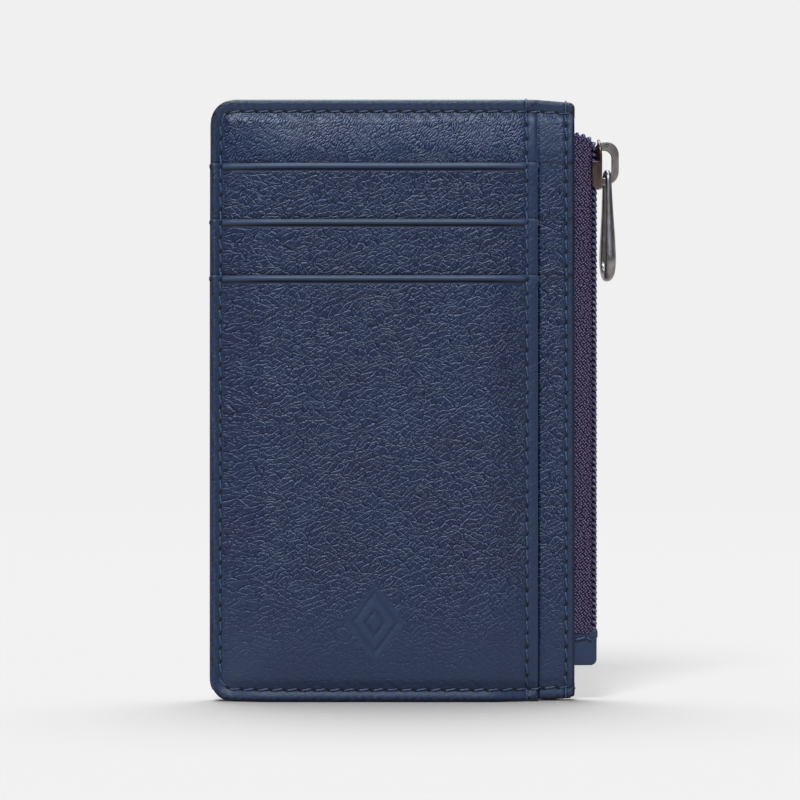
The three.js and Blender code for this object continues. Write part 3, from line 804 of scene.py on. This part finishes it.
def polyline(points, spacing=0.25):
    """Evenly spaced points along a line through the given ones."""
    points = np.asarray(points, float)
    steps = np.linalg.norm(np.diff(points, axis=0), axis=1)
    at = np.concatenate([[0.0], np.cumsum(steps)])
    wanted = np.linspace(0.0, at[-1], max(2, int(round(at[-1] / spacing)) + 1))
    return np.column_stack([np.interp(wanted, at, points[:, k]) for k in range(points.shape[1])])


def arc_points(centre, radius, start, stop, count=7):
    angles = np.radians(np.linspace(start, stop, count))
    return [(centre[0] + radius * math.cos(a), centre[1] + radius * math.sin(a)) for a in angles]


def add_seam(parts, path, side):
    """Lockstitches along a path in X and Z, lying in the groove of the leather's face."""
    step, gap = 0.05, 8  # the track's spacing in mm, and steps left free at each end of a stitch
    t = np.linspace(-1.0, 1.0, 11)
    track = polyline(path, step)
    count = max(1, int(round(step * (len(track) - 1) / STITCH_PITCH)))
    per = (len(track) - 1) / count
    for k in range(count):
        at = np.linspace(k * per + gap, (k + 1) * per - gap, len(t))
        spots = np.column_stack([np.interp(at, np.arange(len(track)), track[:, c]) for c in (0, 1)])
        along = spots[-1] - spots[0]
        along /= np.linalg.norm(along)
        across = np.array([-along[1], along[0]])
        lean = rng.normal(0.16, 0.04)
        spots = spots + np.outer(t * lean, across) + rng.normal(0, 0.02, 2)
        if side < 0:
            level = front_level(spots[:, 0], spots[:, 1])
            level = np.maximum(level, np.linspace(level[0], level[-1], len(t)))
        else:
            level = np.full(len(t), REAR_LEVEL)
        y = side * (level + 0.13 + stitch_arch(t, 0.16, 0.32))
        body = pinch(np.column_stack([spots[:, 0], y, spots[:, 1]]))
        parts.add(*tube(body, STITCH_RADIUS, **PLY))
        # the needle hole at the stitch's end is a dark bead of painted shade
        hole = track[min(int((k + 1) * per), len(track) - 1)]
        if k < count - 1:
            on = front_level(hole[:1], hole[1:])[0] if side < 0 else REAR_LEVEL
            spot = pinch(np.array([[hole[0], side * (on + 0.10), hole[1]]]))[0]
            turn = math.atan2(along[1], along[0]) + side * 0.6
            parts.add(*flat_bead(spot, HOLE_SIZE, turn), 1)


def wrap_over(parts, x, z_seam, z_edge):
    """One stitch that runs from the seam out to the edge and over it to the back."""
    outward = 1.0 if z_edge > z_seam else -1.0
    z = np.linspace(z_seam, z_edge - outward * 0.5, 8)
    level = front_level(np.full(8, x), z) + 0.02
    front = [[x, -a, b] for a, b in zip(level, z)]
    rise = 0.32 if outward > 0 else 0.0
    over = [[x, -level[-1] + 0.45, z_edge + outward * rise * 0.6]]
    over += [[x, y, z_edge + outward * rise] for y in np.linspace(-level[-1] + 1.4, REAR_LEVEL - 0.9, 6)]
    over += [[x, REAR_LEVEL - 0.05, z_edge - outward * 0.4], [x, REAR_LEVEL + 0.02, z_seam]]
    parts.add(*tube(polyline(pinch(np.array(front + over)), 0.3), WRAP_RADIUS, **PLY))


def build_stitching():
    low, high, corner = SEAM_BOTTOM, SEAM_TOP, SEAM_CORNER
    top_arc = arc_points((SEAM_LEFT + corner, high - corner), corner, 180, 90)
    bottom_arc = arc_points((SEAM_LEFT + corner, low + corner), corner, 270, 180)
    right_end = RIGHT - 0.5
    runs = {
        "left_thread": [(SEAM_LEFT, low + corner), (SEAM_LEFT, high - corner)],
        "top_thread": top_arc + [(right_end, high)],
        "bottom_thread": [(right_end, low)] + bottom_arc,
        "card_seam_thread": [(SEAM_CARD, low), (SEAM_CARD, high)],
        "zip_thread": [(SEAM_ZIP, low), (SEAM_ZIP, high)],
    }
    seams = [(name if "card" in name else f"front_{name}", runs[name], -1) for name in runs]
    seams += [(f"rear_{name}", runs[name], 1) for name in runs if "card" not in name]
    for node, path, side in seams:
        parts = Parts()
        add_seam(parts, path, side)
        if node in ("card_seam_thread", "front_zip_thread"):
            wrap_over(parts, path[0][0], high, TOP)
            wrap_over(parts, path[0][0], low, BOTTOM + 0.3)
        if node == "front_bottom_thread":
            add_knot(parts, (RIGHT - 0.1, -WALL_FRONT * 0.5, low))
        place(parts.build(f"{node}_stitches", [THREAD, HOLE_SHADE]), node, "wallet")


def add_knot(parts, centre):
    """The tied-off end of the seam."""
    for k in range(3):
        angle = np.linspace(0, 5.0, 12) + k * 2.1
        loop = np.column_stack([0.28 * np.cos(angle), 0.22 * np.sin(angle * 1.3 + k), 0.3 * np.sin(angle)])
        parts.add(*tube(loop + np.array(centre), 0.14, 6))


# ------------------------------------------------------------------ zip
CHAIN_X = 41.98  # middle of the coil, out from the wallet
COIL_PITCH = 1.28
TAPE_HALF = 0.16  # half the tape's thickness
CORE_Y, CORE_RADIUS = 1.0, 0.40  # the cord that each coil is wound round


def sweep_profile(profile, zs):
    """A closed solid: one closed profile in X and Y carried along the given heights."""
    verts = np.vstack([np.column_stack([profile, np.full(len(profile), z)]) for z in zs])
    return verts, ring_faces(len(zs), len(profile))


def tape_profile(side):
    """The tape runs out flat from the wallet and turns in under the coil."""
    bend = arc_points((40.75, 1.75), 0.62, 90, 0, 6)
    centre = polyline([(37.3, 2.37)] + bend + [(41.37, 0.5)], 0.22)
    along = directions(centre)
    across = TAPE_HALF * np.column_stack([-along[:, 1], along[:, 0]])
    loop = np.vstack([centre + across, (centre - across)[::-1]])
    loop[:, 1] *= side
    return loop if side < 0 else loop[::-1]


def coil_tube(side, start, stop):
    """The flattened helix of one coil. The two coils sit half a pitch apart and mesh in the middle."""
    phase = (0.0 if side < 0 else math.pi) + start / COIL_PITCH * 2 * math.pi
    turns = (stop - start) / COIL_PITCH
    t = np.linspace(0.0, turns * 2 * math.pi, int(turns * 18))
    outer = 0.5 - 0.5 * np.sin(t + phase)
    x = CHAIN_X - 0.35 * np.cos(t + phase)
    y = side * (0.06 + 1.66 * outer)
    path = np.column_stack([x, y, start + t / (2 * math.pi) * COIL_PITCH])
    return tube(path, 0.29 + 0.06 * outer, 10)


def build_zip():
    middle = (ZIP_BOTTOM + ZIP_TOP) / 2
    # each half from start to stop, held by the wallet at one height and open at another
    halves = {"lower": (ZIP_BOTTOM - 0.3, middle, 24.0, 52.0), "upper": (middle, 115.6, ZIP_TOP, 88.0)}
    for name, side in (("front", -1), ("rear", 1)):
        for part, (start, stop, held_at, free_at) in halves.items():
            rows = np.linspace(start, stop, 110)
            tape = new_object(f"{name}_tape_{part}", *sweep_profile(tape_profile(side), rows), [TAPE])
            coil = Parts()
            coil.add(*coil_tube(side, start, stop - (0.6 if part == "upper" else 0.0)))
            core = [(CHAIN_X - 0.05, side * CORE_Y, z) for z in (start, stop)]
            # the cord inside the coil, near black: painted shade in the gaps between the turns
            coil.add(*tube(polyline(core, 1.2), CORE_RADIUS), 1)
            chain = coil.build(f"{name}_coil_{part}", [COIL, HOLE_SHADE])
            for obj, node in ((tape, f"{name}_zip_tape"), (chain, f"{name}_coil")):
                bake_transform(obj)
                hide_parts(node)
        build_zip_end(name, side)


def build_zip_end(name, side):
    """At the top the tape and its coil curl over and run back into the pocket."""
    node = f"{name}_zip_end"
    curl = [(41.95, 114.6), (41.75, 115.5), (41.3, 116.3), (40.5, 116.95), (39.5, 117.35)]
    curl += [(38.2, 117.6), (36.6, 117.7)]
    centre = polyline(curl, COIL_PITCH / 16)
    for _ in range(12):
        centre[1:-1] = (centre[:-2] + centre[1:-1] + centre[2:]) / 3
    along = directions(centre)
    t = np.arange(len(centre)) / 16 * 2 * math.pi
    ring = 0.55 * np.cos(t)
    x, z = centre[:, 0] + along[:, 1] * ring, centre[:, 1] - along[:, 0] * ring
    loops = Parts()
    loops.add(*tube(np.column_stack([x, side * (1.3 - 0.7 * np.sin(t)), z]), 0.28))
    core = np.column_stack([centre[:, 0], np.full(len(centre), side * 1.3), centre[:, 1]])
    loops.add(*tube(core[::6], 0.3))
    place(loops.build(f"{name}_coil_curl", [COIL]), node, "wallet")
    outline = [(36.8, 115.3), (41.3, 115.3)] + arc_points((39.6, 115.3), 1.7, 0, 90, 8) + [(36.8, 117.1)]
    patch = prism(outline, side * 0.9, side * 2.5)
    place(soft_object(f"{name}_tape_end", patch, TAPE, 0.25), node, "wallet")


def soft_object(name, solid, material, width_mm, segments=3):
    """A solid with its edges rounded, kept in its mesh."""
    obj = new_object(name, *solid, [material])
    bevel = obj.modifiers.new("bevel", "BEVEL")
    bevel.width = width_mm * MM
    bevel.segments = segments
    bevel.limit_method = "ANGLE"
    bevel.angle_limit = math.radians(35)
    shaped = bpy.data.meshes.new_from_object(obj.evaluated_get(bpy.context.evaluated_depsgraph_get()))
    obj.modifiers.clear()
    obj.data = shaped
    shade_smooth(shaped, 50)
    return obj


# ------------------------------------------------------------------ tab over the lower end of the zip
def build_tab():
    low, high = box_mm("zip_end_tab")
    left, right, base, top = 36.9, high[0], 7.35, high[2] + 0.45
    corner = arc_points((right - 1.3, base + 1.3), 1.3, -90, 0, 9)
    outline = [(left, base)] + corner + [(right + 0.05, top), (left, top)]
    fold_low, fold_right, fold_top, proud = top - 1.75, right + 0.2, top + 0.15, 0.22
    fold = [(left, fold_low), (fold_right, fold_low), (fold_right, fold_top), (left, fold_top)]
    solids = (
        ("zip_tab_leather", prism(outline, low[1], high[1]), 0.55),
        ("zip_tab_fold", prism(fold, low[1] - proud, high[1] + proud), 0.5),
    )
    for name, solid, width in solids:
        obj = soft_object(name, solid, LEATHER_FINE, width, 5)
        grain = obj.data.attributes.new("grain", "FLOAT", "POINT")
        grain.data.foreach_set("value", [0.18] * len(obj.data.vertices))
        place(obj, "zip_end_tab", "wallet")
    parts = Parts()
    face = high[1] + proud
    t = np.linspace(-1, 1, 9)
    for (x0, z0), (x1, z1) in (((37.9, 12.75), (40.2, 13.25)), ((40.4, 13.25), (41.3, 12.7))):
        along = np.linspace(0, 1, 9)
        for side in (-1, 1):
            y = side * (face + 0.1 + stitch_arch(t, 0.14, 0.3))
            line = np.column_stack([x0 + (x1 - x0) * along, y, z0 + (z1 - z0) * along])
            parts.add(*tube(line, TAB_STITCH_RADIUS, **PLY))
            # a dark bead of painted shade for the needle hole
            parts.add(*flat_bead((x0 - 0.12, side * face, z0), TAB_HOLE_SIZE, -0.6), 1)
    place(parts.build("tab_thread_stitches", [THREAD, HOLE_SHADE]), "tab_thread", "wallet")


# ------------------------------------------------------------------ slider and pull
EYE, FOOT = (1.0, 2.1), (2.3, 4.5)  # inner and outer radius of the pull's small and large ends
PULL_LENGTH, EYE_DROP = 16.7, 1.55  # between the ends' centres, and from the pivot to the small end's
PULL_TURN = math.radians(9)
BAIL_HALF = 0.62  # half the bail's width, front to back


def ring_solid(middle, half_width, half_depth, sides):
    """A closed ring with a rounded section that follows middle: a list of position, across and deep."""
    power = 2.6
    angle = np.linspace(0, 2 * math.pi, sides, endpoint=False)
    u, v = [np.sign(f) * np.abs(f) ** (2 / power) for f in (np.cos(angle), np.sin(angle))]
    rings = []
    for (position, across, deep), w, d in zip(middle, half_width, half_depth):
        rings.append(position + np.outer(w * u, across) + np.outer(d * v, deep))
    return np.vstack(rings), ring_faces(len(rings), sides, flip=True, closed=True)


def drop_point(small, large, t):
    """A point on the outline round two circles, one below the other; t runs 0 to 1 once round."""
    lean = math.asin((large - small) / PULL_LENGTH)
    straight = math.sqrt(PULL_LENGTH**2 - (large - small) ** 2)
    small_arc, large_arc = (math.pi - 2 * lean) * small, (math.pi + 2 * lean) * large

    def around(radius, drop, angle):
        return np.array([radius * math.cos(angle), radius * math.sin(angle) - drop])

    eye_drop, foot_drop = EYE_DROP, EYE_DROP + PULL_LENGTH
    s = t * (small_arc + large_arc + 2 * straight)
    if s < small_arc:
        return around(small, eye_drop, lean + s / small)
    s -= small_arc
    left = around(small, eye_drop, math.pi - lean), around(large, foot_drop, math.pi - lean)
    if s < straight:
        return left[0] + (left[1] - left[0]) * s / straight
    s -= straight
    if s < large_arc:
        return around(large, foot_drop, math.pi - lean + s / large)
    s -= large_arc
    right = around(large, foot_drop, lean), around(small, eye_drop, lean)
    return right[0] + (right[1] - right[0]) * s / straight


def build_pull():
    pivot = np.array(next(j["pos_m"] for j in frame["joints"] if j["name"] == "pull_swing")) / MM
    across_dir = np.array([-math.sin(PULL_TURN), math.cos(PULL_TURN), 0.0])
    deep_dir = np.array([math.cos(PULL_TURN), math.sin(PULL_TURN), 0.0])
    up = np.array([0.0, 0.0, 1.0])
    middle, widths, depths = [], [], []
    for t in np.linspace(0, 1, 96, endpoint=False):
        outer, inner = drop_point(EYE[1], FOOT[1], t), drop_point(EYE[0], FOOT[0], t)
        centre = (outer + inner) / 2
        size = np.linalg.norm(outer - inner) / 2
        direction = (outer - inner) / (2 * size)
        at = pivot + across_dir * centre[0] + up * centre[1]
        middle.append((at, across_dir * direction[0] + up * direction[1], deep_dir))
        near = smooth(-centre[0], -0.5, 2.5) * smooth(-centre[1], 1.0, 14.0)
        widths.append(size)
        depths.append(0.62 + 0.26 * smooth(-centre[1], 6.0, 18.0) + 0.22 * near)
    place(new_object("pull_ring", *ring_solid(middle, widths, depths, 16), [METAL]), "pull_loop", "pull")


def shield(half, bottom, top):
    """Straight sides below and a round shoulder above, in Y and Z."""
    rise, cut = half * 1.05, 1.6
    arc = [(half * math.cos(a), top - rise + rise * math.sin(a)) for a in np.linspace(0, math.pi, 17)]
    foot = [(-half * 0.86, bottom), (half * 0.86, bottom), (half, bottom + cut)]
    return foot + arc + [(-half, bottom + cut)]


def build_slider():
    low, high = box_mm("slider_body")
    back, face, bottom = low[0], high[0], low[2]
    plate_half, plate_thick, rib, flange_top, nose_top = 3.1, 0.55, CHAIN_X + 0.7, 112.2, 115.9
    plate = prism(shield(plate_half, bottom, high[2] + 0.45), face - plate_thick, face, along_x=True)
    bend_from, bend = 112.9, 0.36
    plate[0][:, 0] -= bend * np.clip((plate[0][:, 2] - bend_from) / 3.6, 0.0, 1.0) ** 2
    rear_plate = prism(shield(1.75, bottom + 0.3, high[2] - 0.6), back, back + 0.5, along_x=True)
    nose = [(rib, 112.6), (face - 0.3, 112.6), (face - 0.3, nose_top), (rib, nose_top)]
    solids = [
        (plate, 0.2, METAL_WARM),
        (rear_plate, 0.15, METAL_WARM),
        (prism(nose, -0.7, 0.7), 0.2, METAL_WARM),
    ]
    left, right, base, top = face - 2.1, face - 0.25, bottom + 0.05, flange_top
    inner, outer = face - 1.2, face - 0.4
    flange = [(left, base + 0.7), (left + 0.55, base), (right, base), (right, top), (left, top)]
    lip = [(left - 0.05, top - 0.75), (right, top - 0.75), (right, top + 0.05), (left - 0.05, top + 0.05)]
    # near-black plates just inside the flanges: painted shade in the slider's hollow
    shade_fill = [(inner, 109.0), (outer, 109.0), (outer, 113.8), (face - 0.75, 116.1), (inner, 115.6)]
    for side in (-1, 1):
        solids.append((prism(flange, side * 2.55, side * 3.08), 0.16, METAL_WARM))
        solids.append((prism(lip, side * 2.6, side * 3.2), 0.14, METAL_WARM))
        solids.append((prism(shade_fill, side * 2.35, side * 2.75), 0.12, METAL_SHADE))
    for k, (solid, width, metal) in enumerate(solids):
        place(soft_object(f"slider_body_{k + 1}", solid, metal, width), "slider_body", "slider")
    build_bail(face)


def ring_plate(outer, inner, low, high):
    """A flat ring between two outlines with the same number of points, made solid from low to high."""
    n = len(outer)
    verts = [(a, at, b) for at in (low, high) for outline in (outer, inner) for a, b in outline]
    faces = []
    for a in range(n):
        b = (a + 1) % n
        faces += [[a, b, n + b, n + a], [2 * n + a, 3 * n + a, 3 * n + b, 2 * n + b]]
        faces += [[a, 2 * n + a, 2 * n + b, b], [n + a, n + b, 3 * n + b, 3 * n + a]]
    return np.array(verts), faces


def d_outline(left, right, bottom, top, radius):
    """A D in X and Z: straight on the left and rounded on the right."""
    low = arc_points((right - radius, bottom + radius), radius, -90, 0, 10)
    high = arc_points((right - radius, top - radius), radius, 0, 90, 10)
    return [(left, bottom)] + low + high + [(left, top)]


def build_bail(plate):
    """The bridge that the pull hangs from, with a small oval on each side."""
    outer = d_outline(plate - 0.85, plate + 3.6, 107.35, 116.55, 2.9)
    inner = d_outline(plate + 0.02, plate + 2.05, 108.95, 114.6, 1.6)
    ring = ring_plate(outer, inner, -BAIL_HALF, BAIL_HALF)
    place(soft_object("slider_bail_bridge", ring, METAL_LIT, 0.24, 4), "slider_bail", "slider")
    # each oval is a thin near-black line: painted shade in a pressed groove
    turns = np.linspace(0, 2 * math.pi, 20)
    x, z = plate + 1.0 + 0.42 * np.cos(turns), 115.65 + 0.26 * np.sin(turns)
    for side in (-1, 1):
        oval = np.column_stack([x, np.full(len(turns), side * BAIL_HALF), z])
        line = new_object(f"slider_bail_oval_{side + 2}", *tube(oval, 0.06, 6), [METAL_SHADE])
        place(line, "slider_bail", "slider")


# ------------------------------------------------------------------ studio
FLOOR_TONE, PAPER_WHITE = (0.5224, 0.458, 0.4166), 0.871
COOL = (0.80, 0.91, 1.0)
ROOM, LEFT_PANEL = (0.080, 0.095, 0.118), (0.38, 0.42, 0.48)
CAMERA_DISTANCE, VIEW_WIDTH = 700.0, 165.3  # from just in front of the part, and what fits across there
CAMERA_X, CAMERA_Z = 1.55, 62.6


def soft_sun(name, elevation, azimuth, spread, strength, colour):
    """An even, soft light from far away; azimuth 0 is straight in front and positive is to the right."""
    data = bpy.data.lights.new(name, "SUN")
    data.angle = math.radians(spread)
    data.energy = strength
    data.color = colour
    light = link_object(name, data)
    up, turn = math.radians(elevation), math.radians(azimuth)
    towards = Vector((math.cos(up) * math.sin(turn), -math.cos(up) * math.cos(turn), math.sin(up)))
    light.rotation_euler = (-towards).to_track_quat("-Z", "Y").to_euler()
    light.location = towards


def build_world(horizon, above):
    """White paper round the horizon, a dim room above it and a paler panel on the left."""
    world = bpy.data.worlds.new("studio")
    world.use_nodes = True
    tree = world.node_tree
    towards = axes_of(tree, coordinates(tree, "Generated"))
    behind = ramp(tree, towards["Y"], -0.5, -0.2)
    paper = calc(tree, "MULTIPLY", behind, ramp(tree, towards["Z"], 0.14, 0.30, 1.0, 0.0))
    on_left = ramp(tree, towards["X"], -0.92, -0.6, 1.0, 0.0)
    panel = calc(tree, "MULTIPLY", on_left, ramp(tree, towards["Z"], 0.0, 0.2))
    room = mix_colour(tree, panel, above, LEFT_PANEL)
    feed(tree, tree.nodes["Background"].inputs["Color"], mix_colour(tree, paper, room, (horizon,) * 3))
    bpy.context.scene.world = world


def build_floor():
    """Grey paper under the part. Far from it the paper shines as white as the horizon."""
    material, tree, bsdf = node_material("floor_paper")
    at = coordinates(tree)
    paper = ramp(tree, axes_of(tree, at)["Y"], -0.75, -0.3)
    distance = add_node(tree, "ShaderNodeVectorMath", at, operation="LENGTH").outputs["Value"]
    glow = calc(tree, "MULTIPLY", ramp(tree, distance, 0.45, 1.6), paper)
    near = mix_colour(tree, paper, (0.2,) * 3, FLOOR_TONE)
    paint(tree, bsdf, mix_colour(tree, glow, near, (0.0,) * 3), 1.0, 0.0)
    feed(tree, bsdf.inputs["Emission Strength"], calc(tree, "MULTIPLY", glow, PAPER_WHITE))
    bsdf.inputs["Emission Color"].default_value = (1.0, 1.0, 1.0, 1.0)
    half = 20000.0  # past the edge of every view
    verts = [[-half, -half, 0.0], [half, -half, 0.0], [half, half, 0.0], [-half, half, 0.0]]
    new_object("floor", verts, [[0, 1, 2, 3]], [material])


def build_camera():
    """A long lens, level with the part and straight in front of it."""
    data = bpy.data.cameras.new("camera")
    data.sensor_width = 36.0
    data.lens = data.sensor_width * CAMERA_DISTANCE / VIEW_WIDTH
    data.clip_end = 60.0
    camera = link_object("camera", data)
    camera.location = Vector((CAMERA_X, -CAMERA_DISTANCE - 7.0, CAMERA_Z)) * MM
    camera.rotation_euler = (math.radians(90), 0, 0)
    bpy.context.scene.camera = camera


def build_studio():
    bpy.context.scene.view_settings.view_transform = "Standard"
    build_world(PAPER_WHITE, ROOM)
    build_floor()
    soft_sun("overhead", 72.0, 180.0, 50.0, 4.6, COOL)
    soft_sun("key", 44.0, -12.0, 20.0, 2.6, COOL)
    build_camera()


build_studio()
build_leather()
build_layers()
build_stitching()
build_zip()
build_tab()
build_slider()
build_pull()
